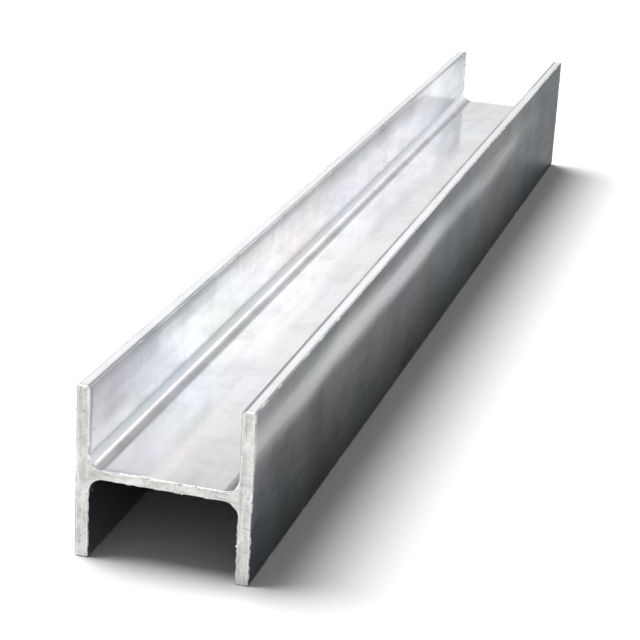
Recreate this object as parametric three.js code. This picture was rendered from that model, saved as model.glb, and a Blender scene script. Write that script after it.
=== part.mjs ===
// Galvanised steel H-beam: one length of hot-rolled wide-flange section, saw cut at both ends and hot-dip
// galvanised.
//
// Millimetres, +Z up. The length runs along Y. The web lies level and the two flanges stand upright, so the
// beam rests on the lower toes of its flanges. The origin is in the middle of the footprint, on the plane of
// those toes.

import * as THREE from "three";

// Driving dimensions, in millimetres.
const LENGTH = 950; // from one saw-cut end to the other
const DEPTH = 100; // across the outer faces of the two flanges
const FLANGE_WIDTH = 100; // from the lower toe to the upper toe
const FLANGE_THICKNESS = 8;
const WEB_THICKNESS = 6;
const ROOT_RADIUS = 8; // rolled fillet where the web runs into a flange
const TOE_RADIUS = 1.2; // rolled rounding on both corners of a flange toe
const CUT_EDGE_RADIUS = 0.6; // edge of a cut end, dressed with a file and filled round by the zinc

// Steps along each rounded edge.
const ROOT_STEPS = 14;
const TOE_STEPS = 5;
const CUT_EDGE_STEPS = 3;

// No rounding takes more than this share of the wall that it is on.
const ROUNDING_SHARE = 0.45;

const GALVANISED = { color: 0xb9bcbe, roughness: 0.42, metalness: 0.85 };

const QUARTER_TURN = Math.PI / 2;

// Points along a circular arc in the section's plane. Its two ends are angles in quarter turns, which count
// anticlockwise from the section's right.
function arc(centreX, centreY, radius, startQuarter, endQuarter, steps) {
  const points = [];
  for (let step = 0; step <= steps; step += 1) {
    const angle = QUARTER_TURN * (startQuarter + ((endQuarter - startQuarter) * step) / steps);
    points.push(new THREE.Vector2(centreX + radius * Math.cos(angle), centreY + radius * Math.sin(angle)));
  }
  return points;
}

// The right half of the section's outline, anticlockwise round the section's centre: out along the web's
// underside, round the whole right flange, and back to the web's upper side.
function rightHalfOutline() {
  const outerFace = DEPTH / 2;
  const innerFace = outerFace - FLANGE_THICKNESS;
  const toe = FLANGE_WIDTH / 2;
  const webFace = WEB_THICKNESS / 2;
  const toeRadius = Math.min(TOE_RADIUS, ROUNDING_SHARE * FLANGE_THICKNESS);
  const channelDepth = toe - webFace;
  const rootRadius = Math.min(ROOT_RADIUS, channelDepth - 2 * toeRadius, 2 * ROUNDING_SHARE * innerFace);
  const rootX = innerFace - rootRadius;
  const rootY = webFace + rootRadius;
  const innerToeX = innerFace + toeRadius;
  const outerToeX = outerFace - toeRadius;
  const toeY = toe - toeRadius;
  return [
    ...arc(rootX, -rootY, rootRadius, 1, 0, ROOT_STEPS), // fillet under the web
    ...arc(innerToeX, -toeY, toeRadius, 2, 3, TOE_STEPS), // lower toe, its inner corner
    ...arc(outerToeX, -toeY, toeRadius, 3, 4, TOE_STEPS), // lower toe, its outer corner
    ...arc(outerToeX, toeY, toeRadius, 0, 1, TOE_STEPS), // upper toe, its outer corner
    ...arc(innerToeX, toeY, toeRadius, 1, 2, TOE_STEPS), // upper toe, its inner corner
    ...arc(rootX, rootY, rootRadius, 0, -1, ROOT_STEPS), // fillet over the web
  ];
}

// The whole H outline: its left half is the right half given half a turn.
function sectionShape() {
  const rightHalf = rightHalfOutline();
  const leftHalf = rightHalf.map((point) => new THREE.Vector2(-point.x, -point.y));
  return new THREE.Shape([...rightHalf, ...leftHalf]);
}

// The beam's solid: the section drawn along the length, with the edges of both cut ends rounded within it.
function beamGeometry() {
  const thinnestWall = Math.min(WEB_THICKNESS, FLANGE_THICKNESS);
  const cutEdgeRadius = Math.min(CUT_EDGE_RADIUS, ROUNDING_SHARE * thinnestWall);
  const geometry = new THREE.ExtrudeGeometry(sectionShape(), {
    depth: LENGTH - 2 * cutEdgeRadius,
    steps: 1,
    bevelEnabled: true,
    bevelThickness: cutEdgeRadius,
    bevelSize: cutEdgeRadius,
    bevelOffset: -cutEdgeRadius,
    bevelSegments: CUT_EDGE_STEPS,
  });
  geometry.translate(0, 0, cutEdgeRadius - LENGTH / 2);
  geometry.rotateX(QUARTER_TURN);
  geometry.translate(0, 0, FLANGE_WIDTH / 2);
  return geometry;
}

const beam = new THREE.Mesh(beamGeometry(), new THREE.MeshStandardMaterial(GALVANISED));
beam.name = "h_beam";

const part = new THREE.Group();
part.add(beam);

export default part;
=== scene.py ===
"""Finish for a galvanised steel H-beam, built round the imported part, with its stage and camera.

Metres. The beam lies along Y with its web level, and stands on the lower toes of its two flanges.
"""

import math
from types import SimpleNamespace

import bpy
from mathutils import Matrix, Vector


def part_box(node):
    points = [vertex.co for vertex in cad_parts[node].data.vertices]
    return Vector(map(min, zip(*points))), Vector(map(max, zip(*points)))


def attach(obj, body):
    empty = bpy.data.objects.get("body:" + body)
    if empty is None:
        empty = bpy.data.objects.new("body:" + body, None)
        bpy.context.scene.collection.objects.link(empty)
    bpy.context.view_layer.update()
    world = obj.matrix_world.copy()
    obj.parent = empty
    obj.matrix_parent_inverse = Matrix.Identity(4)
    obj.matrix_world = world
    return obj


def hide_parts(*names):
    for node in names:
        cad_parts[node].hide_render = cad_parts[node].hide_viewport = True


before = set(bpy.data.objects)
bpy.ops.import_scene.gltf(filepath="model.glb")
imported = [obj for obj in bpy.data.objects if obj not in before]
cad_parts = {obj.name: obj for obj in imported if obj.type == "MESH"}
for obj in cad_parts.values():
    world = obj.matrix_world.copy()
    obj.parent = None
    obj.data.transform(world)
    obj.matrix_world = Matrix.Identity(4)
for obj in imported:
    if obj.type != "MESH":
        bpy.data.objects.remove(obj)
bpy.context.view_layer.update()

bl_info = {
    "name": "Galvanised H-Beam",
    "version": (1, 0, 0),
    "blender": (4, 5, 0),
    "location": "View3D > Sidebar > H-Beam",
    "description": "Builds the zinc-coated surface of a rolled H-beam and its studio",
    "category": "Object",
}

BEAM_NODE = "h_beam"
BODY = "root"

MM = 0.001
QUARTER_TURN = math.pi / 2

BOX_LOW, BOX_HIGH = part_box(BEAM_NODE)
DEPTH = BOX_HIGH.x - BOX_LOW.x
LENGTH = BOX_HIGH.y - BOX_LOW.y
FLANGE_WIDTH = BOX_HIGH.z - BOX_LOW.z
FRONT_END, REAR_END = BOX_LOW.y, BOX_HIGH.y
MID_HEIGHT = (BOX_LOW.z + BOX_HIGH.z) / 2

# Steps of the meshes.
OUTLINE_STEP = 6 * MM  # longest straight step round the section
ROOT_STEPS = 12  # steps round a root fillet
TOE_STEPS = 6  # steps round a corner of a toe
EDGE_RINGS = 4  # rings round the edge of a cut end
BEAD_STEP = 0.8 * MM  # along the bead of a cut end
RIDGE_STEP = 1.5 * MM  # along the ridge of a toe
RIDGE_SIDES = 6  # of the ridge's own section

OUTER_SKIN = 0.2 * MM  # a face no deeper than this belongs to the outer face of its flange
CLEARANCE = 0.02 * MM  # of the lowest zinc over what the beam stands on
BEAD_LUMP = 6 * MM  # from one thick place of a cut end's bead to the next
RIDGE_LUMP = 11 * MM  # from one drop along a toe to the next
BEAD_SUNK, BEAD_WANDER = 0.6, 0.5  # shares of the bead's radius
RIDGE_SUNK = 0.35  # share of the ridge's radius
SMALLEST_LUMP = 0.2  # share of the largest lump's radius
LUMP_SEGMENTS, LUMP_RINGS = 10, 5
WAVES_ALONG = 0.45  # how fast the long waves change along the beam, over how fast they change across it

# Depth of each finish's relief.
FACE_RELIEF = 0.02 * MM
CUT_RELIEF = 0.25 * MM
BEAD_RELIEF = 0.15 * MM

# From here on a pair says where a change of the zinc, or of the painted highlights and painted shade on it,
# starts and where it is full.

# Along the channels, from the nearer end.
PAINTED_LIGHT_STRETCH = (100 * MM, 30 * MM)  # painted highlight: the web's left is paler towards the front
RIGHT_SHADE_STRETCH = (175 * MM, 105 * MM)  # painted shade: the web's right is darker towards the front
STRAW_STRETCH = (130 * MM, 50 * MM)  # the web is straw towards the front
TOP_SHADE_STRETCH = (92 * MM, 40 * MM)  # painted shade: the flanges are darker at the top towards the front
FRONT_SHADE_STRETCH = (120 * MM, 15 * MM)  # painted shade: the flanges are a little darker towards the front
REAR_SHADE_STRETCH = (160 * MM, 15 * MM)  # painted shade: everything is darker towards the rear

# On the section of the channels.
PAINTED_LIGHT_SIDE = (6 * MM, -14 * MM)  # across the web
RIGHT_SHADE_SIDE = (0.0, 14 * MM)
STRAW_SIDE = (-20 * MM, 5 * MM)
TOP_SHADE_SIDE = (14 * MM, 26 * MM)  # up a flange, from the middle of the web
TOE_SHADE = (0.30 * FLANGE_WIDTH, 0.48 * FLANGE_WIDTH)  # the same, up or down; painted shade below the toes
FOOT_LINE = (3.8 * MM, 1.5 * MM)  # painted shade line, to both sides of a fillet's foot
TOP_AND_UNDERSIDE = (MID_HEIGHT - 1 * MM, MID_HEIGHT + 1 * MM)  # height, through the web

# On the outer faces. Places along the beam count from its middle. The bright band is a painted reflection,
# and the darkening of the faces is painted shade.
BAND_HEIGHT = 0.78 * FLANGE_WIDTH  # of the bright band's middle, halfway along the beam
BAND_SLOPE = -0.0112  # its rise in a metre along the beam
BAND_WANDER = 14 * MM  # the whole swing of its height
BAND_BELOW, BAND_ABOVE = (-16 * MM, 0.0), (18 * MM, 0.0)  # from its middle
BAND_GROWS = (-LENGTH / 2, -LENGTH / 4)
BAND_WANES = (-100 * MM, 10 * MM)
BAND_DIES = (110 * MM, 330 * MM)
FACE_SHADE = (-55 * MM, 12 * MM)  # from the band's middle, the faces being painted darkest at their feet, as painted shade
# painted shade: the outer faces darker towards the rear
OUTER_REAR_SHADE = (120 * MM, LENGTH / 2)
DARK_MIDDLE, DARK_REACH = -385 * MM, (110 * MM, 30 * MM)  # the stretch with painted shade below the band
DARK_BELOW = (-8 * MM, -25 * MM)  # from the band's middle
STRAW_MIDDLE, STRAW_REACH = -350 * MM, (110 * MM, 20 * MM)  # the straw stretch

# On the cut ends.
RIM = (1.5 * MM, 0.3 * MM)  # in from the edges
RIM_WOBBLE = 1.6 * MM  # the whole swing of its depth
SAW_SLANT = 0.14  # how far the lines of the blade rise across the beam
SAW_ACROSS, SAW_UP = 12.0, 900.0  # changes of the lines in a metre, across and up
SMEARS, SMEAR_STRETCH = 420.0, 0.2  # smears in a metre, and their width as a share of their length
PITS = 520.0  # pits in a metre

# Tints of new zinc, which a colour is multiplied by.
GREEN_TINT = (0.925, 1.0, 1.04)
VIOLET_TINT = (1.0, 0.98, 1.01)
STRAW_TINT = (1.0, 0.994, 0.94)
NO_TINT = (1.0, 1.0, 1.0)
TINT_LENGTH = 620 * MM  # from one green stretch of the flanges to the next
TINT_START = -390 * MM  # middle of the first green stretch
GRAZING_TINT = (0.55, 0.56, 0.57, 1.0)  # of the outer faces seen at a low angle

# Soft changes in a metre.
VIOLET_CHANGES, STRAW_CHANGES = 6.0, 5.0
SHADE_CHANGES, BAND_CHANGES = 8.0, 7.0
STRAW_SHIFT = (0.0, 0.7, 0.3)  # keeps the straw patches from following the violet ones

# The studio.
FLOOR_HALF = 12.0  # from the middle of the floor to its sides
FLOOR_GREY = (0.8, 0.8, 0.8)  # of the floor as it lights the beam
FLOOR_WHITE = (1.42, 1.42, 1.42)  # of the floor as it is seen, so that it looks white in this light
SUN_DIRECTION = (-0.50, 0.12, 0.98)  # from the beam to the middle of the soft light
PANEL_DISTANCE = 3.0  # from the middle of the beam back to the soft panels
PANEL_SOFTNESS = 0.2  # share of a panel's width over which each side fades
PANELS = {  # left, right, bottom and top edge, and radiance
    "back_left_high": (-1.9, -0.1, 0.88, 1.66, 0.16),
    "back_right_high": (0.1, 1.9, 0.88, 1.66, 0.82),
    "back_right_low": (0.1, 1.9, 0.70, 0.87, 0.75),
}

# Kinds of socket.
FLOAT = "NodeSocketFloat"
INT = "NodeSocketInt"
VECTOR = "NodeSocketVector"
GEOMETRY = "NodeSocketGeometry"
MATERIAL = "NodeSocketMaterial"


# ---------------------------------------------------------------- settings


def number_setting(name, description, default, **looks):
    """A number that the sidebar shows."""
    return bpy.props.FloatProperty(name=name, description=description, default=default, **looks)


def length_setting(name, description, default):
    """A length in metres."""
    return number_setting(name, description, default, unit="LENGTH")


def angle_setting(name, description, degrees):
    """An angle."""
    return number_setting(name, description, math.radians(degrees), subtype="ANGLE")


def share_setting(name, description, default):
    """A number from 0 to 1."""
    return number_setting(name, description, default, subtype="FACTOR", min=0.0, max=1.0)


def colour_setting(name, description, default):
    """A colour."""
    return bpy.props.FloatVectorProperty(name=name, description=description, default=default, subtype="COLOR")


class BeamSizes(bpy.types.PropertyGroup):
    """Sizes of the rolled section that the part's box doesn't show, and of the zinc on it."""

    flange_thickness: length_setting("Flange Thickness", "Thickness of each flange", 8 * MM)
    web_thickness: length_setting("Web Thickness", "Thickness of the web", 6 * MM)
    root_radius: length_setting("Root Radius", "Rolled fillet between the web and a flange", 8 * MM)
    toe_radius: length_setting("Toe Radius", "Rolled rounding on the corners of a flange toe", 1.2 * MM)
    cut_edge_radius: length_setting("Cut Edge Radius", "Rounding of the edges of both saw-cut ends", 0.6 * MM)
    mesh_step: length_setting("Mesh Step", "Distance between the rings of the swept mesh", 4 * MM)
    wave_depth: length_setting(
        "Wave Depth", "How far the long waves of rolling and zinc sink below the nominal face", 0.12 * MM
    )
    wave_length: length_setting("Wave Length", "Distance between the long waves", 110 * MM)
    bead_radius: length_setting(
        "Bead Radius", "Radius of the zinc bead along the edges of a cut end", 0.65 * MM
    )
    ridge_radius: length_setting("Ridge Radius", "Radius of the zinc drops along the toes", 0.75 * MM)
    lump_radius: length_setting("Lump Radius", "Radius of the largest zinc lumps", 1.4 * MM)
    seed: bpy.props.IntProperty(
        name="Seed",
        description="Number that the places and sizes of the lumps are drawn from",
        default=11,
    )


class ZincFinish(bpy.types.PropertyGroup):
    """Colours and gloss of the zinc, with the colours of its painted highlights and painted shade."""

    bright_zinc: colour_setting("Bright Zinc", "Colour of the shiny zinc", (0.75, 0.752, 0.76))
    # Colour of the dull patches, and also the colour that painted shade darkens the channels and outer faces
    # towards.
    dull_and_shaded_zinc: colour_setting("Dull Zinc", "Colour of the duller patches", (0.24, 0.25, 0.26))
    # Painted highlight colour of the toes, the root corners and the core of the bright band.
    highlight_zinc: colour_setting(
        "Thick Zinc",
        "Colour of the toes, the root corners and the core of the bright band",
        (0.93, 0.935, 0.94),
    )
    # Painted highlight colour, lilac-tinted, on the web's left towards the front.
    painted_light_zinc: colour_setting(
        "Pale Zinc", "Colour of the web's left towards the front end", (0.955, 0.91, 0.935)
    )
    cut_zinc: colour_setting("Cut End Zinc", "Colour of the rough zinc on the cut ends", (0.84, 0.825, 0.80))
    gloss_roughness: share_setting(
        "Face Roughness", "Roughness of the faces in the channels where they are brightest", 0.13
    )
    outer_roughness: share_setting("Outer Roughness", "Roughness of the outer faces of the flanges", 0.34)
    cut_roughness: share_setting("Cut End Roughness", "Roughness of the cut ends", 0.55)


class StudioSettings(bpy.types.PropertyGroup):
    """The camera's place, measured from the beam, and the light."""

    camera_aside: length_setting(
        "Camera Aside", "How far the camera stands to the right of the beam's middle line", 0.324
    )
    camera_before: length_setting(
        "Camera Before", "How far the camera stands in front of the front end", 0.912
    )
    camera_height: length_setting("Camera Height", "Height of the camera over the floor", 0.492)
    camera_turn: angle_setting("Camera Turn", "Turn of the view to the left of the beam's direction", 14.93)
    camera_dip: angle_setting("Camera Dip", "How far the view looks down", 19.59)
    camera_roll: angle_setting("Camera Roll", "Tilt of the camera, its right side up", 3.34)
    lens: number_setting("Lens", "Focal length in millimetres on a 36 mm sensor", 112.0)
    sky_strength: number_setting("Sky Strength", "Strength of the light that comes from all round", 0.15)
    sun_strength: number_setting("Sun Strength", "Strength of the soft light from above", 2.5)
    sun_width: angle_setting("Sun Width", "Angle across the disc that the soft light comes from", 42)


# ---------------------------------------------------------------- node helpers


class Value:
    """A number, vector or shape in a node tree. Numbers among them take the signs of arithmetic."""

    def __init__(self, socket):
        self.socket = socket

    @property
    def tree(self):
        return self.socket.id_data

    def __add__(self, other):
        return maths("ADD", self, other)

    def __sub__(self, other):
        return maths("SUBTRACT", self, other)

    def __rsub__(self, other):
        return maths("SUBTRACT", other, self)

    def __mul__(self, other):
        return maths("MULTIPLY", self, other)

    def __truediv__(self, other):
        return maths("DIVIDE", self, other)

    def __rtruediv__(self, other):
        return maths("DIVIDE", other, self)

    def __pow__(self, other):
        return maths("POWER", self, other)

    def __abs__(self):
        return maths("ABSOLUTE", self)


def tree_of(sources):
    """The node tree that these values stand in. Some of them may be plain numbers or colours."""
    return next(source.tree for source in sources if isinstance(source, Value))


def feed(socket, source):
    """Links a socket to its source, or sets it where the source is a plain value."""
    if isinstance(source, Value):
        source.tree.links.new(source.socket, socket)
    else:
        socket.default_value = source


def feed_all(node, inputs):
    """Feeds a node's inputs, which are named or numbered."""
    for key, source in inputs.items():
        feed(node.inputs[key], source)


def add_node(tree, kind, inputs, **settings):
    """A node of that kind, with its own properties set and its inputs fed."""
    node = tree.nodes.new(kind)
    for name, value in settings.items():
        setattr(node, name, value)
    feed_all(node, inputs)
    return node


def result(tree, kind, inputs, output=0, **settings):
    """What a new node puts out."""
    return Value(add_node(tree, kind, inputs, **settings).outputs[output])


def maths(operation, *sources):
    """The result of one arithmetic step."""
    return result(tree_of(sources), "ShaderNodeMath", dict(enumerate(sources)), operation=operation)


def vector_maths(operation, *sources):
    """The vector that one step on vectors gives."""
    return result(tree_of(sources), "ShaderNodeVectorMath", dict(enumerate(sources)), operation=operation)


def scaled(vector, factor):
    """A vector made that many times as long."""
    return result(vector.tree, "ShaderNodeVectorMath", {0: vector, "Scale": factor}, operation="SCALE")


def held(value):
    """A number held from 0 to 1."""
    return result(value.tree, "ShaderNodeMath", {0: value, 1: 1.0}, operation="MULTIPLY", use_clamp=True)


def remap(value, low, high, new_low=0.0, new_high=1.0, curve="SMOOTHSTEP"):
    """A number taken from one range to another, held inside it."""
    inputs = dict(enumerate((value, low, high, new_low, new_high)))
    return result(value.tree, "ShaderNodeMapRange", inputs, interpolation_type=curve)


def near(value, middle, far, close):
    """1 close to the middle, fading to 0 far from it."""
    return remap(abs(value - middle), far, close)


def raised(value, share, limit):
    """A number taken that share of the way up to a limit."""
    return value + maths("MAXIMUM", limit - value, 0.0) * share


def noise(place, scale, detail=2.0, roughness=0.5):
    """Soft random numbers from 0 to 1."""
    inputs = {"Vector": place, "Scale": scale, "Detail": detail, "Roughness": roughness}
    return result(place.tree, "ShaderNodeTexNoise", inputs)


def random_shift(place, scale, reach):
    """A shift that wanders softly from place to place."""
    cloud = result(place.tree, "ShaderNodeTexNoise", {"Vector": place, "Scale": scale}, "Color")
    return scaled(vector_maths("SUBTRACT", cloud, (0.5, 0.5, 0.5)), reach)


def split(vector):
    """The three numbers of a vector."""
    return [Value(socket) for socket in add_node(vector.tree, "ShaderNodeSeparateXYZ", {0: vector}).outputs]


def combine(*numbers):
    """A vector from three numbers."""
    return result(tree_of(numbers), "ShaderNodeCombineXYZ", dict(enumerate(numbers)))


def mix_colour(share, first, second, blend="MIX"):
    """Two colours mixed by a share of the second."""
    tree = tree_of((share, first, second))
    node = add_node(tree, "ShaderNodeMix", {"Factor": share}, data_type="RGBA", blend_type=blend)
    colour_inputs = [socket for socket in node.inputs if socket.type == "RGBA"]
    for socket, colour in zip(colour_inputs, (first, second)):
        feed(socket, colour if isinstance(colour, Value) else (*colour, 1.0))
    return Value(next(socket for socket in node.outputs if socket.type == "RGBA"))


def new_group(kind, name, inputs, outputs):
    """A node group with its inputs as values by name, and its output sockets.

    inputs holds (name, socket type, default), and outputs holds (name, socket type).
    """
    group = bpy.data.node_groups.new(name, kind)
    for label, socket_type, default in inputs:
        socket = group.interface.new_socket(name=label, in_out="INPUT", socket_type=socket_type)
        if default is not None:
            socket.default_value = default
    for label, socket_type in outputs:
        group.interface.new_socket(name=label, in_out="OUTPUT", socket_type=socket_type)
    given = {socket.name: Value(socket) for socket in group.nodes.new("NodeGroupInput").outputs}
    return group, given, group.nodes.new("NodeGroupOutput").inputs


# ---------------------------------------------------------------- zinc finishes
# Dullness runs from 0 to 1, and a factor beside a mask is how much of it the mask adds. In the channels and
# on the outer faces it carries painted shade as well as the zinc's own dull patches.


def mottle_group():
    """Soft patches, small crystals and fine grain, as hot-dip zinc has them all over."""
    group, given, made = new_group(
        "ShaderNodeTree",
        "Zinc Mottle",
        [
            ("Vector", VECTOR, None),
            ("Patch Size", FLOAT, 45 * MM),
            ("Crystal Size", FLOAT, 7 * MM),
            ("Grain Size", FLOAT, 0.8 * MM),
        ],
        [("Patches", FLOAT), ("Crystals", FLOAT), ("Grain", FLOAT)],
    )
    place, crystal_size = given["Vector"], given["Crystal Size"]
    patches = noise(place, 1.0 / given["Patch Size"], detail=3.0, roughness=0.55)
    feed(made["Patches"], remap(patches, 0.3, 0.7))

    bent_place = vector_maths("ADD", place, random_shift(place, 0.6 / crystal_size, crystal_size))
    cell_inputs = {"Vector": bent_place, "Scale": 1.0 / crystal_size}
    cells = result(group, "ShaderNodeTexVoronoi", cell_inputs, "Color", feature="F1")
    feed(made["Crystals"], split(cells)[0])

    feed(made["Grain"], noise(place, 1.0 / given["Grain Size"], roughness=0.6))
    return group


def flow_group():
    """Long faint streaks that the zinc left as it drained along the beam."""
    group, given, made = new_group(
        "ShaderNodeTree",
        "Zinc Flow",
        [
            ("Vector", VECTOR, None),
            ("Streak Width", FLOAT, 5 * MM),
            ("Streak Stretch", FLOAT, 18.0),
        ],
        [("Streaks", FLOAT), ("Fine Streaks", FLOAT)],
    )
    across, along, up = split(given["Vector"])
    place = combine(across, along / given["Streak Stretch"], up)
    scale = 1.0 / given["Streak Width"]
    feed(made["Streaks"], remap(noise(place, scale), 0.35, 0.7))
    feed(made["Fine Streaks"], noise(place, scale * 4.0, roughness=0.55))
    return group


ZINC_GROUPS = {"Zinc Mottle": mottle_group, "Zinc Flow": flow_group}


def placed(name, place, **sizes):
    """What a shared zinc group puts out, placed with a material's own sizes. Its first use makes it."""
    group = bpy.data.node_groups.get(name) or ZINC_GROUPS[name]()
    inputs = {label.replace("_", " ").title(): size for label, size in sizes.items()}
    node = add_node(place.tree, "ShaderNodeGroup", {"Vector": place, **inputs}, node_tree=group)
    return {socket.name: Value(socket) for socket in node.outputs}


def new_material(name):
    """An empty material, its shader, and the place of each point in the object's own coordinates."""
    material = bpy.data.materials.new(name)
    material.use_nodes = True
    tree = material.node_tree
    tree.nodes.clear()
    shader = tree.nodes.new("ShaderNodeBsdfPrincipled")
    add_node(tree, "ShaderNodeOutputMaterial", {"Surface": Value(shader.outputs[0])})
    return material, shader, result(tree, "ShaderNodeTexCoord", {}, "Object")


def bump(height, distance, strength):
    """A surface normal from a height."""
    inputs = {"Strength": strength, "Distance": distance, "Height": height}
    return result(height.tree, "ShaderNodeBump", inputs)


def shaded(colour, share):
    """A colour with that share of its light."""
    return tuple(channel * share for channel in colour)


def tinted(place, colour, lean, warmth):
    """A colour with the faint tints of new zinc. Lean takes it from green to violet, and warmth to straw."""
    violet = remap(noise(place, VIOLET_CHANGES, detail=1.0) + lean, 0.35, 0.65)
    elsewhere = vector_maths("ADD", place, STRAW_SHIFT)
    straw = remap(noise(elsewhere, STRAW_CHANGES, detail=1.0) + warmth, 0.45, 0.7)
    colour = mix_colour(1.0, colour, mix_colour(violet, GREEN_TINT, VIOLET_TINT), "MULTIPLY")
    return mix_colour(1.0, colour, mix_colour(straw, NO_TINT, STRAW_TINT), "MULTIPLY")


def zinc_variation(mottle, flow):
    """Small changes of dullness, to both sides of 0: patches, streaks and crystals."""
    patchy = (mottle["Patches"] - 0.5) * 0.18
    streaky = (flow["Streaks"] - 0.5) * 0.10
    return patchy + streaky + (mottle["Crystals"] - 0.5) * 0.07


def zinc_relief(mottle, flow):
    """A surface normal with crystals, drainage streaks and a fine grain."""
    relief = mottle["Grain"] * 0.18 + mottle["Crystals"] * 0.2 + flow["Fine Streaks"] * 0.2
    return bump(relief, FACE_RELIEF, 0.6)


def channel_masks(sizes, across, up):
    """Where on the section a point of the channels or the toes lies, as masks from 0 to 1."""
    out, from_middle = abs(across), abs(up - MID_HEIGHT)
    face, outer, toe = DEPTH / 2 - sizes.flange_thickness, DEPTH / 2, FLANGE_WIDTH / 2
    root, corner = sizes.root_radius, sizes.toe_radius
    fillet_top = sizes.web_thickness / 2 + root
    above = remap(up, *TOP_AND_UNDERSIDE)
    on_flange = remap(out, face - 0.6 * root, face + 0.4 * root)
    off_inner_edge = remap(out, face + 1.4 * corner, face + 2.6 * corner)
    off_outer_edge = remap(out, outer - 0.6 * corner, outer - 1.4 * corner)
    at_toe = remap(from_middle, toe - corner, toe - 0.4 * corner)
    on_toe = at_toe * off_inner_edge * off_outer_edge
    by_flange = remap(out, face - 2 * MM, face - 1.2 * MM)
    by_web = remap(from_middle, fillet_top + 0.5 * MM, fillet_top - 1.5 * MM)
    return SimpleNamespace(
        above=above,
        upper_web=above * (1.0 - on_flange),
        flange_side=on_flange * (1.0 - on_toe),
        foot=near(out, face - 0.7 * root, *FOOT_LINE),
        corner=by_flange * by_web * above,
        toe=on_toe,
        toe_line=at_toe * (1.0 - off_inner_edge),
        under_toe=remap(from_middle, *TOE_SHADE),
    )


def flange_shade(masks, place, up, from_front, at_rear):
    """Painted shade on the flanges' inner faces: how much darker than the web they are painted, below the
    toes, near both ends, at the top towards the front and along the toes' inner edges.
    """
    uneven = remap(noise(place, SHADE_CHANGES, detail=1.0), 0.38, 0.62, 0.3, 1.0)
    front_top_shade = remap(from_front, *TOP_SHADE_STRETCH) * remap(up - MID_HEIGHT, *TOP_SHADE_SIDE, 0.0, 0.72)
    shade = masks.under_toe * uneven * 0.68 + remap(from_front, *FRONT_SHADE_STRETCH) * 0.30 + at_rear * 0.55
    return (raised(shade, front_top_shade, 0.9) + masks.toe_line * 0.36) * masks.flange_side


def channel_zinc(finish, sizes):
    """Bright smooth zinc in both channels and on the toes, with dull patches of its own, and painted
    highlights and painted shade in places.

    The toes and the upper root corners, where the zinc also pools, carry a painted highlight. Painted shade
    makes it darker underneath the web, along the fillets' feet, on the flanges below the toes and near both
    ends, and along the toes' inner edges. The web carries a paler, lilac painted highlight at its front left,
    and painted shade and a faint straw tint at its front right.
    """
    material, shader, place = new_material("channel_zinc")
    mottle, flow = placed("Zinc Mottle", place), placed("Zinc Flow", place)
    across, along, up = split(place)
    masks = channel_masks(sizes, across, up)
    from_front = along - FRONT_END
    at_rear = remap(REAR_END - along, *REAR_SHADE_STRETCH)

    # Painted shade: darker underneath the web, along the fillets' feet and towards the rear.
    dullness = (1.0 - masks.above) * 0.85 + masks.foot * 0.62 + at_rear * 0.15
    # Painted shade on the web's right towards the front.
    right_shade = remap(from_front, *RIGHT_SHADE_STRETCH) * remap(across, *RIGHT_SHADE_SIDE) * masks.upper_web
    dullness = dullness + right_shade * 0.14
    # Painted shade on the flanges' inner faces.
    dullness = dullness + flange_shade(masks, place, up, from_front, at_rear)
    dullness = held(dullness + zinc_variation(mottle, flow) + 0.08)
    colour = mix_colour(dullness, finish.bright_zinc, finish.dull_and_shaded_zinc)
    # Painted highlight, lilac-tinted, on the web's left towards the front.
    painted_light = remap(from_front, *PAINTED_LIGHT_STRETCH) * remap(across, *PAINTED_LIGHT_SIDE) * held(masks.upper_web - masks.foot)
    colour = mix_colour(painted_light * 0.8, colour, finish.painted_light_zinc)
    # Painted highlight on the upper root corners, where zinc also pools, and on the toes.
    thick = maths("MAXIMUM", masks.corner, masks.toe * 0.38)
    colour = mix_colour(thick, colour, finish.highlight_zinc)

    drift = maths("COSINE", (along - TINT_START) * (math.tau / TINT_LENGTH)) * -0.20 - 0.18
    lean = masks.flange_side * drift + 0.16
    warmth = remap(from_front, *STRAW_STRETCH) * remap(across, *STRAW_SIDE, 0.08, 0.3) * masks.upper_web
    feed_all(
        shader,
        {
            "Base Color": tinted(place, colour, lean, warmth),
            "Metallic": 1.0,
            "Roughness": dullness * 0.18 + masks.corner * 0.45 + finish.gloss_roughness,
            "Normal": zinc_relief(mottle, flow),
        },
    )
    return material


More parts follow.
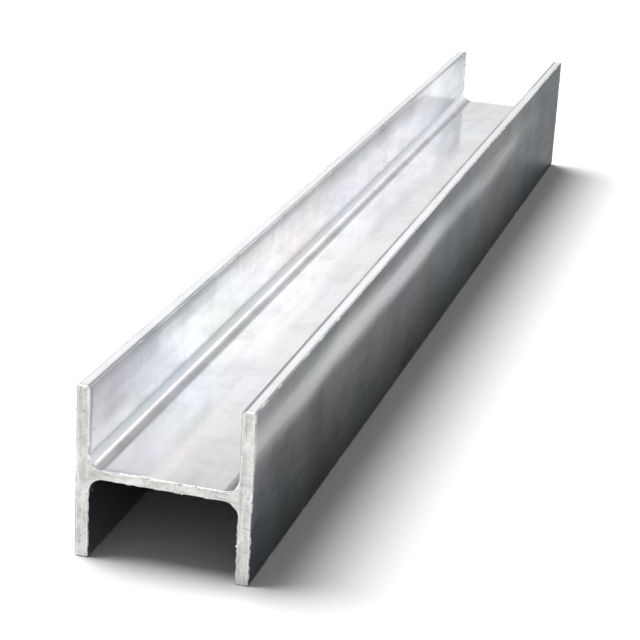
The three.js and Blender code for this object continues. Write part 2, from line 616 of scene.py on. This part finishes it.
def outer_zinc(finish):
    """Satin zinc on the outer faces of the flanges, painted darker than the channels as painted shade, with
    one soft bright band along them that is a painted reflection.

    The band swells over the first quarter of the beam, sinks a little towards the rear and fades. The faces
    are painted darkest at their feet, darker towards the rear and darker below the band near the front, all
    painted shade; near the front they are also faintly straw.
    """
    material, shader, place = new_material("outer_zinc")
    mottle, flow = placed("Zinc Mottle", place), placed("Zinc Flow", place)
    across, along, up = split(place)
    wander = (noise(place, BAND_CHANGES, detail=1.0) - 0.5) * BAND_WANDER
    # A soft bright band along the faces: a painted reflection.
    over_band = up - (along * BAND_SLOPE + BAND_HEIGHT) + wander
    across_band = (remap(over_band, *BAND_BELOW) * remap(over_band, *BAND_ABOVE)) ** 1.25
    growing = remap(along, *BAND_GROWS, 0.52, 1.02)
    fading = remap(along, *BAND_WANES, 1.0, 0.44) * remap(along, *BAND_DIES, 1.0, 0.3)
    weaker_left = remap(across, -DEPTH / 4, DEPTH / 4, 0.55, 1.0)
    streaky = remap(flow["Streaks"], 0.0, 1.0, 1.0, 0.85)
    band = across_band * growing * fading * weaker_left * streaky

    # Painted shade: darkest at the feet, darker towards the rear and below the band near the front.
    top = remap(along, *BAND_GROWS, 0.70, 0.80)
    dullness = remap(over_band, *FACE_SHADE, 0.91, top, "LINEAR") - band * 0.86
    dullness = raised(dullness, remap(along, *OUTER_REAR_SHADE), 0.97)
    dark = near(along, DARK_MIDDLE, *DARK_REACH) * remap(over_band, *DARK_BELOW, 0.0, 0.8)
    dullness = raised(dullness, dark, 0.95)
    dullness = held(dullness + zinc_variation(mottle, flow) * 0.4)
    colour = mix_colour(dullness, finish.bright_zinc, shaded(finish.dull_and_shaded_zinc, 0.4))
    # Painted reflection: the band's core in the highlight colour.
    colour = mix_colour(held(band * band), colour, finish.highlight_zinc)
    warmth = near(along, STRAW_MIDDLE, *STRAW_REACH) * 0.3
    feed_all(
        shader,
        {
            "Base Color": tinted(place, colour, -0.06, warmth),
            "Metallic": 1.0,
            "Specular Tint": GRAZING_TINT,
            "Roughness": dullness * 0.14 + (finish.outer_roughness - 0.08),
            "Normal": zinc_relief(mottle, flow),
        },
    )
    return material


def inside_section(sizes, across, up):
    """How far inside the H a point lies, from the nearest outer face, toe or side of a channel."""
    out, from_middle = abs(across), abs(up - MID_HEIGHT)
    arc_x = maths("MAXIMUM", out - (DEPTH / 2 - sizes.flange_thickness - sizes.root_radius), 0.0)
    arc_z = maths("MAXIMUM", sizes.web_thickness / 2 + sizes.root_radius - from_middle, 0.0)
    from_channel = maths("SQRT", arc_x * arc_x + arc_z * arc_z) - sizes.root_radius
    return maths("MINIMUM", from_channel, maths("MINIMUM", DEPTH / 2 - out, FLANGE_WIDTH / 2 - from_middle))


def cut_zinc(finish, sizes):
    """Matt zinc on the saw-cut ends: pitted, smeared along the limbs of the H, brighter round its edges."""
    material, shader, place = new_material("cut_end_zinc")
    mottle = placed("Zinc Mottle", place, patch_size=11 * MM, grain_size=1.1 * MM)
    across, along, up = split(place)
    saw_place = combine(across * SAW_ACROSS, along, (across * SAW_SLANT + up) * SAW_UP)
    saw_lines = remap(noise(saw_place, 1.0, roughness=0.6), 0.3, 0.7)
    wobble = (mottle["Grain"] - 0.5) * RIM_WOBBLE
    rim = remap(inside_section(sizes, across, up) + wobble, *RIM)

    inner_face = DEPTH / 2 - sizes.flange_thickness
    on_flange = remap(abs(across), inner_face, inner_face + 1 * MM)
    upright = noise(combine(across, along, up * SMEAR_STRETCH), SMEARS)
    level = noise(combine(across * SMEAR_STRETCH, along, up), SMEARS)
    smears = remap((upright - level) * on_flange + level, 0.35, 0.68)
    pits = remap(noise(place, PITS), 0.56, 0.74)

    dullness = mottle["Patches"] * 0.24 + saw_lines * 0.16 + smears * 0.42 + pits * 0.4
    dullness = held(dullness - rim * 0.6)
    relief = mottle["Grain"] * 0.4 - saw_lines * 0.3 - smears * 0.4 - pits * 0.8
    feed_all(
        shader,
        {
            "Base Color": mix_colour(dullness, finish.cut_zinc, shaded(finish.cut_zinc, 0.55)),
            "Metallic": 0.85,
            "Roughness": dullness * 0.25 + (finish.cut_roughness - 0.15),
            "Normal": bump(relief, CUT_RELIEF, 1.0),
        },
    )
    return material


def bead_zinc(finish):
    """Smooth zinc of the beads, ridges and lumps, in places bright and in places dull."""
    material, shader, place = new_material("bead_zinc")
    mottle = placed("Zinc Mottle", place, patch_size=6 * MM)
    dullness = mottle["Patches"] * 0.45 + 0.1
    feed_all(
        shader,
        {
            "Base Color": mix_colour(dullness, finish.bright_zinc, finish.dull_and_shaded_zinc),
            "Metallic": 0.95,
            "Roughness": remap(mottle["Grain"], 0.3, 0.7, 0.28, 0.48),
            "Normal": bump(mottle["Grain"], BEAD_RELIEF, 0.5),
        },
    )
    return material


# ---------------------------------------------------------------- section outline


def arc(centre_x, centre_y, radius, start_quarter, end_quarter, steps):
    """Points along a circular arc, its ends in quarter turns anticlockwise from the right."""
    angles = [
        QUARTER_TURN * (start_quarter + (end_quarter - start_quarter) * step / steps)
        for step in range(steps + 1)
    ]
    return [(centre_x + radius * math.cos(a), centre_y + radius * math.sin(a)) for a in angles]


def half_outline(sizes, inset):
    """Corners and arcs of the section's right half, anticlockwise, drawn that far inside its faces."""
    outer = DEPTH / 2 - inset
    inner = DEPTH / 2 - sizes.flange_thickness + inset
    toe = FLANGE_WIDTH / 2 - inset
    web = sizes.web_thickness / 2 - inset
    root = sizes.root_radius + inset
    corner = sizes.toe_radius - inset
    return [
        *arc(inner - root, -web - root, root, 1, 0, ROOT_STEPS),
        *arc(inner + corner, -toe + corner, corner, 2, 3, TOE_STEPS),
        *arc(outer - corner, -toe + corner, corner, 3, 4, TOE_STEPS),
        *arc(outer - corner, toe - corner, corner, 0, 1, TOE_STEPS),
        *arc(inner + corner, toe - corner, corner, 1, 2, TOE_STEPS),
        *arc(inner - root, web + root, root, 0, -1, ROOT_STEPS),
    ]


def section_outline(sizes, inset=0.0):
    """The H outline round the section's centre, its left half the right half given half a turn."""
    right = half_outline(sizes, inset)
    return right + [(-x, -y) for x, y in right]


def divided(points, longest):
    """A closed outline with its long straight stretches divided into steps no longer than that."""
    divided_points = []
    for (x0, y0), (x1, y1) in zip(points, points[1:] + points[:1]):
        steps = max(1, math.ceil(math.hypot(x1 - x0, y1 - y0) / longest))
        for step in range(steps):
            share = step / steps
            divided_points.append((x0 + (x1 - x0) * share, y0 + (y1 - y0) * share))
    return divided_points


def new_object(name, data):
    """An object in the scene."""
    obj = bpy.data.objects.new(name, data)
    bpy.context.scene.collection.objects.link(obj)
    return obj


def loop_object(name, loops, closed=True):
    """An object whose mesh is loops or lines of edges."""
    vertices, edges = [], []
    for loop in loops:
        first = len(vertices)
        vertices += loop
        edges += [(first + i, first + i + 1) for i in range(len(loop) - 1)]
        if closed:
            edges.append((first + len(loop) - 1, first))
    mesh = bpy.data.meshes.new(name)
    mesh.from_pydata(vertices, edges, [])
    return new_object(name, mesh)


def grow(obj, tree, values):
    """Runs a geometry tree on an object with those named inputs, and keeps what it makes as its mesh."""
    modifier = obj.modifiers.new(tree.name, "NODES")
    modifier.node_group = tree
    identifiers = {
        item.name: item.identifier
        for item in tree.interface.items_tree
        if item.item_type == "SOCKET" and item.in_out == "INPUT"
    }
    for name, value in values.items():
        modifier[identifiers[name]] = value
    depsgraph = bpy.context.evaluated_depsgraph_get()
    mesh = bpy.data.meshes.new_from_object(obj.evaluated_get(depsgraph), depsgraph=depsgraph)
    obj.modifiers.clear()
    old = obj.data
    obj.data = mesh
    bpy.data.meshes.remove(old)
    mesh.name = obj.name


def add_piece(obj):
    """Makes an object a piece of the beam, attached to its body."""
    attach(obj, BODY)


def coated(geometry, material, selection=True):
    """Geometry with that material on its selected faces."""
    inputs = {"Geometry": geometry, "Selection": selection, "Material": material}
    return result(geometry.tree, "GeometryNodeSetMaterial", inputs)


# ---------------------------------------------------------------- rolled beam


def rolled_beam_tree():
    """Sweeps the section along the beam, rounds the edges of both ends and lays long waves on the faces."""
    tree, given, made = new_group(
        "GeometryNodeTree",
        "Rolled Beam",
        [
            ("Geometry", GEOMETRY, None),
            ("Length", FLOAT, 1.0),
            ("Height", FLOAT, 0.05),
            ("Rings", INT, 200),
            ("Edge Rings", INT, 4),
            ("Edge Radius", FLOAT, 0.6 * MM),
            ("Wave Depth", FLOAT, 0.2 * MM),
            ("Wave Length", FLOAT, 70 * MM),
            ("Outer From", FLOAT, 0.05),
            ("Channel Material", MATERIAL, None),
            ("Outer Material", MATERIAL, None),
            ("End Material", MATERIAL, None),
        ],
        [("Geometry", GEOMETRY)],
    )
    half_length = given["Length"] / 2.0
    last_ring = given["Rings"] - 1.0
    edge_rings, edge_radius = given["Edge Rings"], given["Edge Radius"]

    profile = result(tree, "GeometryNodeMeshToCurve", {"Mesh": given["Geometry"]})
    front = combine(0.0, half_length * -1.0, given["Height"])
    rear = combine(0.0, half_length, given["Height"])
    path = result(tree, "GeometryNodeCurvePrimitiveLine", {"Start": front, "End": rear}, mode="POINTS")
    rings = result(tree, "GeometryNodeResampleCurve", {"Curve": path, "Count": given["Rings"]})
    numbered = add_node(tree, "GeometryNodeCaptureAttribute", {0: rings}, domain="POINT")
    numbered.capture_items.new("INT", "Ring")
    feed(numbered.inputs["Ring"], result(tree, "GeometryNodeInputIndex", {}))
    ring = Value(numbered.outputs["Ring"])
    sweep_inputs = {"Curve": Value(numbered.outputs[0]), "Profile Curve": profile, "Fill Caps": True}
    sweep = result(tree, "GeometryNodeCurveToMesh", sweep_inputs)

    # Rings crowd into the rounding of each cut edge, each a step of its quarter circle.
    from_end = maths("MINIMUM", ring, last_ring - ring)
    angle = maths("MINIMUM", from_end * (QUARTER_TURN / edge_rings), QUARTER_TURN)
    rounded = edge_radius * (1.0 - maths("COSINE", angle))
    inset = edge_radius * (1.0 - maths("SINE", angle))
    spacing = (given["Length"] - edge_radius * 2.0) / (last_ring - edge_rings * 2.0)
    past_rounding = maths("MAXIMUM", from_end - edge_rings, 0.0)
    side = maths("SIGN", ring - last_ring / 2.0)
    along = side * (half_length - (past_rounding * spacing + rounded))

    across, _, up = split(result(tree, "GeometryNodeInputPosition", {}))
    place = combine(across, along, up)
    normal = result(tree, "GeometryNodeInputNormal", {})
    outward = vector_maths("NORMALIZE", vector_maths("MULTIPLY", normal, (1.0, 0.0, 1.0)))
    stretched = vector_maths("MULTIPLY", place, (1.0, WAVES_ALONG, 1.0))
    wave = noise(stretched, 1.0 / given["Wave Length"]) * given["Wave Depth"]
    new_place = vector_maths("ADD", place, scaled(outward, (inset + wave) * -1.0))
    shape = result(tree, "GeometryNodeSetPosition", {"Geometry": sweep, "Position": new_place})

    # A cap is the one face with more than four corners.
    corners = result(tree, "GeometryNodeInputMeshFaceNeighbors", {}, "Vertex Count")
    is_cap = maths("GREATER_THAN", corners, 4.0)
    is_outer = maths("GREATER_THAN", abs(across), given["Outer From"])
    smooth_inputs = {"Geometry": shape, "Shade Smooth": 1.0 - is_cap}
    smooth = result(tree, "GeometryNodeSetShadeSmooth", smooth_inputs)
    solid = result(tree, "GeometryNodeRealizeInstances", {0: smooth})
    channel = coated(solid, given["Channel Material"])
    outer = coated(channel, given["Outer Material"], is_outer)
    feed(made["Geometry"], coated(outer, given["End Material"], is_cap))
    return tree


class BEAM_OT_rolled_beam(bpy.types.Operator):
    """Sweeps the zinc-coated beam and puts it in the place of the plain one"""

    bl_idname = "beam.rolled_beam"
    bl_label = "Rolled Beam"

    def execute(self, context):
        sizes = context.scene.beam_sizes
        finish = context.scene.beam_finish
        outline = divided(section_outline(sizes), OUTLINE_STEP)
        beam = loop_object("galvanised_beam", [[(x, y, 0.0) for x, y in outline]])
        grow(
            beam,
            rolled_beam_tree(),
            {
                "Length": LENGTH,
                "Height": MID_HEIGHT,
                "Rings": round(LENGTH / sizes.mesh_step) + 2 * EDGE_RINGS + 1,
                "Edge Rings": EDGE_RINGS,
                "Edge Radius": sizes.cut_edge_radius,
                "Wave Depth": sizes.wave_depth,
                "Wave Length": sizes.wave_length,
                "Outer From": DEPTH / 2 - OUTER_SKIN,
                "Channel Material": channel_zinc(finish, sizes),
                "Outer Material": outer_zinc(finish),
                "End Material": cut_zinc(finish, sizes),
            },
        )
        add_piece(beam)
        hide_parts(BEAM_NODE)
        return {"FINISHED"}


# ---------------------------------------------------------------- zinc beads and lumps


def finished(geometry, lowest, material):
    """Smooth real faces with that material, none of them below that height."""
    tree = geometry.tree
    x, y, z = split(result(tree, "GeometryNodeInputPosition", {}))
    place = combine(x, y, maths("MAXIMUM", z, lowest))
    resting = result(tree, "GeometryNodeSetPosition", {"Geometry": geometry, "Position": place})
    smooth = result(tree, "GeometryNodeSetShadeSmooth", {"Geometry": resting})
    return coated(result(tree, "GeometryNodeRealizeInstances", {0: smooth}), material)


def zinc_bead_tree():
    """Lays a bead of zinc along every line of the mesh, thick in some places and nearly gone in others."""
    tree, given, made = new_group(
        "GeometryNodeTree",
        "Zinc Bead",
        [
            ("Geometry", GEOMETRY, None),
            ("Radius", FLOAT, 0.75 * MM),
            ("Thinnest Share", FLOAT, 0.3),
            ("Wander", FLOAT, 0.0),
            ("Lump Length", FLOAT, 5 * MM),
            ("Step", FLOAT, 1.2 * MM),
            ("Sides", INT, 8),
            ("Lowest", FLOAT, 0.0),
            ("Material", MATERIAL, None),
        ],
        [("Geometry", GEOMETRY)],
    )
    place = result(tree, "GeometryNodeInputPosition", {})
    lump_length, thinnest = given["Lump Length"], given["Thinnest Share"]
    line = result(tree, "GeometryNodeMeshToCurve", {"Mesh": given["Geometry"]})
    even_inputs = {"Curve": line, "Length": given["Step"]}
    even = result(tree, "GeometryNodeResampleCurve", even_inputs, mode="LENGTH")
    sideways = random_shift(place, 1.6 / lump_length, given["Wander"] * 2.0)
    moved = result(tree, "GeometryNodeSetPosition", {"Geometry": even, "Offset": sideways})
    lumps = remap(noise(place, 1.0 / lump_length, roughness=0.6), 0.4, 0.72)
    ring_inputs = {"Resolution": given["Sides"], "Radius": given["Radius"]}
    bead_inputs = {
        "Curve": moved,
        "Profile Curve": result(tree, "GeometryNodeCurvePrimitiveCircle", ring_inputs),
        "Scale": lumps * (1.0 - thinnest) + thinnest,
        "Fill Caps": True,
    }
    bead = result(tree, "GeometryNodeCurveToMesh", bead_inputs)
    feed(made["Geometry"], finished(bead, given["Lowest"], given["Material"]))
    return tree


def zinc_lumps_tree():
    """Scatters low round lumps over the cut ends and in the channels near them."""
    tree, given, made = new_group(
        "GeometryNodeTree",
        "Zinc Lumps",
        [
            ("Geometry", GEOMETRY, None),
            ("Half Length", FLOAT, 0.5),
            ("End Density", FLOAT, 4500.0),
            ("End Reach", FLOAT, 7 * MM),
            ("Outer From", FLOAT, 0.05),
            ("Largest Radius", FLOAT, 1.5 * MM),
            ("Flatness", FLOAT, 0.30),
            ("Lowest", FLOAT, 0.0),
            ("Seed", INT, 0),
            ("Material", MATERIAL, None),
        ],
        [("Geometry", GEOMETRY)],
    )
    place = result(tree, "GeometryNodeInputPosition", {})
    across, along, _ = split(place)
    from_end = given["Half Length"] - abs(along)
    fading = maths("EXPONENT", from_end * -1.0 / given["End Reach"])
    off_outer = maths("LESS_THAN", abs(across), given["Outer From"])
    point_inputs = {
        "Mesh": given["Geometry"],
        "Density": fading * given["End Density"] * off_outer,
        "Seed": given["Seed"],
    }
    points = add_node(tree, "GeometryNodeDistributePointsOnFaces", point_inputs)
    chance = result(tree, "FunctionNodeRandomValue", {"Seed": given["Seed"]}, 1, data_type="FLOAT")
    largest = given["Largest Radius"]
    radius = (chance**3.0 * (1.0 - SMALLEST_LUMP) + SMALLEST_LUMP) * largest
    ball_inputs = {"Segments": LUMP_SEGMENTS, "Rings": LUMP_RINGS, "Radius": 1.0}
    placed_inputs = {
        "Points": Value(points.outputs["Points"]),
        "Instance": result(tree, "GeometryNodeMeshUVSphere", ball_inputs),
        "Rotation": Value(points.outputs["Rotation"]),
        "Scale": combine(radius, radius, radius * given["Flatness"]),
    }
    domes = result(tree, "GeometryNodeInstanceOnPoints", placed_inputs)
    real = result(tree, "GeometryNodeRealizeInstances", {0: domes})
    uneven = random_shift(place, 1.2 / largest, largest)
    bent = result(tree, "GeometryNodeSetPosition", {"Geometry": real, "Offset": uneven})
    feed(made["Geometry"], finished(bent, given["Lowest"], given["Material"]))
    return tree


class BEAM_OT_zinc_beads(bpy.types.Operator):
    """Lays the zinc that hangs on the edges: round both cut ends and along the flange toes"""

    bl_idname = "beam.zinc_beads"
    bl_label = "Zinc Beads"

    def execute(self, context):
        sizes = context.scene.beam_sizes
        tree = zinc_bead_tree()
        common = {"Lowest": CLEARANCE, "Material": bead_zinc(context.scene.beam_finish)}

        inset = BEAD_SUNK * sizes.bead_radius
        edge = section_outline(sizes, inset)
        beyond = LENGTH / 2 - inset
        loops = [[(x, side * beyond, z + MID_HEIGHT) for x, z in edge] for side in (-1, 1)]
        bead = loop_object("cut_end_beads", loops)
        values = {"Radius": sizes.bead_radius, "Wander": BEAD_WANDER * sizes.bead_radius}
        grow(bead, tree, {**common, **values, "Lump Length": BEAD_LUMP, "Step": BEAD_STEP})
        add_piece(bead)

        half = LENGTH / 2 - sizes.toe_radius
        sunk = sizes.toe_radius * (1 - math.sqrt(0.5)) + RIDGE_SUNK * sizes.ridge_radius
        rows = [
            (side * (DEPTH / 2 - out), level)
            for side in (-1, 1)
            for out in (sunk, sizes.flange_thickness - sunk)
            for level in (FLANGE_WIDTH - sunk, sunk)
        ]
        steps = round(LENGTH / RIDGE_STEP)
        lines = [[(x, half * (2 * i / steps - 1), z) for i in range(steps + 1)] for x, z in rows]
        ridges = loop_object("toe_ridges", lines, closed=False)
        values = {"Radius": sizes.ridge_radius, "Thinnest Share": 0.0, "Sides": RIDGE_SIDES}
        grow(ridges, tree, {**common, **values, "Lump Length": RIDGE_LUMP, "Step": RIDGE_STEP})
        add_piece(ridges)
        return {"FINISHED"}


class BEAM_OT_zinc_lumps(bpy.types.Operator):
    """Scatters the small lumps that the zinc froze in"""

    bl_idname = "beam.zinc_lumps"
    bl_label = "Zinc Lumps"

    def execute(self, context):
        sizes = context.scene.beam_sizes
        lumps = new_object("zinc_lumps", bpy.data.objects["galvanised_beam"].data.copy())
        grow(
            lumps,
            zinc_lumps_tree(),
            {
                "Half Length": LENGTH / 2,
                "Outer From": DEPTH / 2 - 1.5 * sizes.toe_radius,
                "Largest Radius": sizes.lump_radius,
                "Lowest": CLEARANCE,
                "Seed": sizes.seed,
                "Material": bead_zinc(context.scene.beam_finish),
            },
        )
        add_piece(lumps)
        return {"FINISHED"}


# ---------------------------------------------------------------- studio


def facing(direction):
    """The turn of a lamp that shines from that direction."""
    return Vector(direction).to_track_quat("Z", "Y").to_euler()


def soft_panel(name, left, right, bottom, top, radiance):
    """An upright soft box behind the beam, facing forwards, that fades out towards its edges."""
    data = bpy.data.lights.new(name, "AREA")
    data.shape = "RECTANGLE"
    data.size = right - left
    data.size_y = top - bottom
    data.energy = radiance * math.pi * data.size * data.size_y
    data.use_nodes = True
    tree = data.node_tree
    across, up, _ = split(result(tree, "ShaderNodeNewGeometry", {}, "Parametric"))
    levels = [remap(abs(share - 0.5), 0.5, 0.5 - PANEL_SOFTNESS) for share in (across, up)]
    feed(tree.nodes["Emission"].inputs["Strength"], levels[0] * levels[1])
    obj = new_object(name, data)
    obj.location = ((left + right) / 2, PANEL_DISTANCE, (bottom + top) / 2)
    obj.rotation_euler = facing((0, 1, 0))
    obj.visible_camera = False


def soft_sun(strength, width):
    """Even light over the whole floor from a wide disc."""
    data = bpy.data.lights.new("key", "SUN")
    data.angle = width
    data.energy = strength
    new_object("key", data).rotation_euler = facing(SUN_DIRECTION)


def seen_directly(tree):
    """1 for a ray from the camera, also by way of glossy or clear surfaces, and 0 after any matt one."""
    path = add_node(tree, "ShaderNodeLightPath", {}).outputs
    mirrored = maths("MAXIMUM", Value(path["Is Glossy Ray"]), Value(path["Is Transmission Ray"]))
    unscattered = maths("LESS_THAN", Value(path["Diffuse Depth"]), 0.5)
    return maths("MAXIMUM", Value(path["Is Camera Ray"]), mirrored * unscattered)


def floor_material():
    """Pale matt floor, which looks white and keeps its shadows."""
    material, shader, _ = new_material("studio_floor")
    colour = mix_colour(seen_directly(material.node_tree), FLOOR_GREY, FLOOR_WHITE)
    feed_all(shader, {"Base Color": colour, "Roughness": 1.0, "Specular IOR Level": 0.0})
    return material


def white_sky(scene, strength):
    """White all round, softer as a lamp than as a background."""
    world = bpy.data.worlds.new("studio_sky")
    scene.world = world
    world.use_nodes = True
    seen = seen_directly(world.node_tree)
    level = seen * (1.0 - strength) + strength
    feed_all(world.node_tree.nodes["Background"], {"Color": (1.0, 1.0, 1.0, 1.0), "Strength": level})


def place_camera(scene, studio):
    """Puts the camera to the right of the beam, before its front end and above it."""
    data = bpy.data.cameras.new("camera")
    data.lens = studio.lens
    camera = new_object("camera", data)
    scene.camera = camera
    turn, dip = studio.camera_turn, studio.camera_dip
    forward = Vector((-math.sin(turn) * math.cos(dip), math.cos(turn) * math.cos(dip), -math.sin(dip)))
    upright = forward.to_track_quat("-Z", "Y").to_matrix()
    camera.rotation_euler = (upright @ Matrix.Rotation(studio.camera_roll, 3, "Z")).to_euler()
    camera.location = (studio.camera_aside, FRONT_END - studio.camera_before, studio.camera_height)


class BEAM_OT_studio(bpy.types.Operator):
    """Lays the floor, lights it softly and puts the camera in its place"""

    bl_idname = "beam.studio"
    bl_label = "Studio"

    def execute(self, context):
        scene = context.scene
        studio = scene.beam_studio
        mesh = bpy.data.meshes.new("studio_floor")
        corners = [(x * FLOOR_HALF, y * FLOOR_HALF, 0) for x, y in ((-1, -1), (1, -1), (1, 1), (-1, 1))]
        mesh.from_pydata(corners, [], [(0, 1, 2, 3)])
        mesh.materials.append(floor_material())
        new_object("studio_floor", mesh)
        white_sky(scene, studio.sky_strength)
        soft_sun(studio.sun_strength, studio.sun_width)
        for name, edges_and_radiance in PANELS.items():
            soft_panel(name, *edges_and_radiance)
        place_camera(scene, studio)
        scene.view_settings.view_transform = "Standard"
        return {"FINISHED"}


class BEAM_PT_sidebar(bpy.types.Panel):
    """The beam's sizes, finish and studio, and what builds them"""

    bl_idname = "BEAM_PT_sidebar"
    bl_label = "H-Beam"
    bl_space_type = "VIEW_3D"
    bl_region_type = "UI"
    bl_category = "H-Beam"

    def draw(self, context):
        for group in (context.scene.beam_sizes, context.scene.beam_finish, context.scene.beam_studio):
            box = self.layout.box()
            for name in group.__annotations__:
                box.prop(group, name)
        for operator in OPERATORS:
            self.layout.operator(operator.bl_idname)


OPERATORS = (BEAM_OT_rolled_beam, BEAM_OT_zinc_beads, BEAM_OT_zinc_lumps, BEAM_OT_studio)
SETTINGS = {"beam_sizes": BeamSizes, "beam_finish": ZincFinish, "beam_studio": StudioSettings}


def register():
    for group in SETTINGS.values():
        bpy.utils.register_class(group)
    for name, group in SETTINGS.items():
        setattr(bpy.types.Scene, name, bpy.props.PointerProperty(type=group))
    for operator in OPERATORS:
        bpy.utils.register_class(operator)
    bpy.utils.register_class(BEAM_PT_sidebar)


def unregister():
    bpy.utils.unregister_class(BEAM_PT_sidebar)
    for operator in reversed(OPERATORS):
        bpy.utils.unregister_class(operator)
    for name in SETTINGS:
        delattr(bpy.types.Scene, name)
    for group in reversed(SETTINGS.values()):
        bpy.utils.unregister_class(group)


def main():
    register()
    bpy.ops.beam.rolled_beam()
    bpy.ops.beam.zinc_beads()
    bpy.ops.beam.zinc_lumps()
    bpy.ops.beam.studio()


if __name__ == "__main__":
    main()
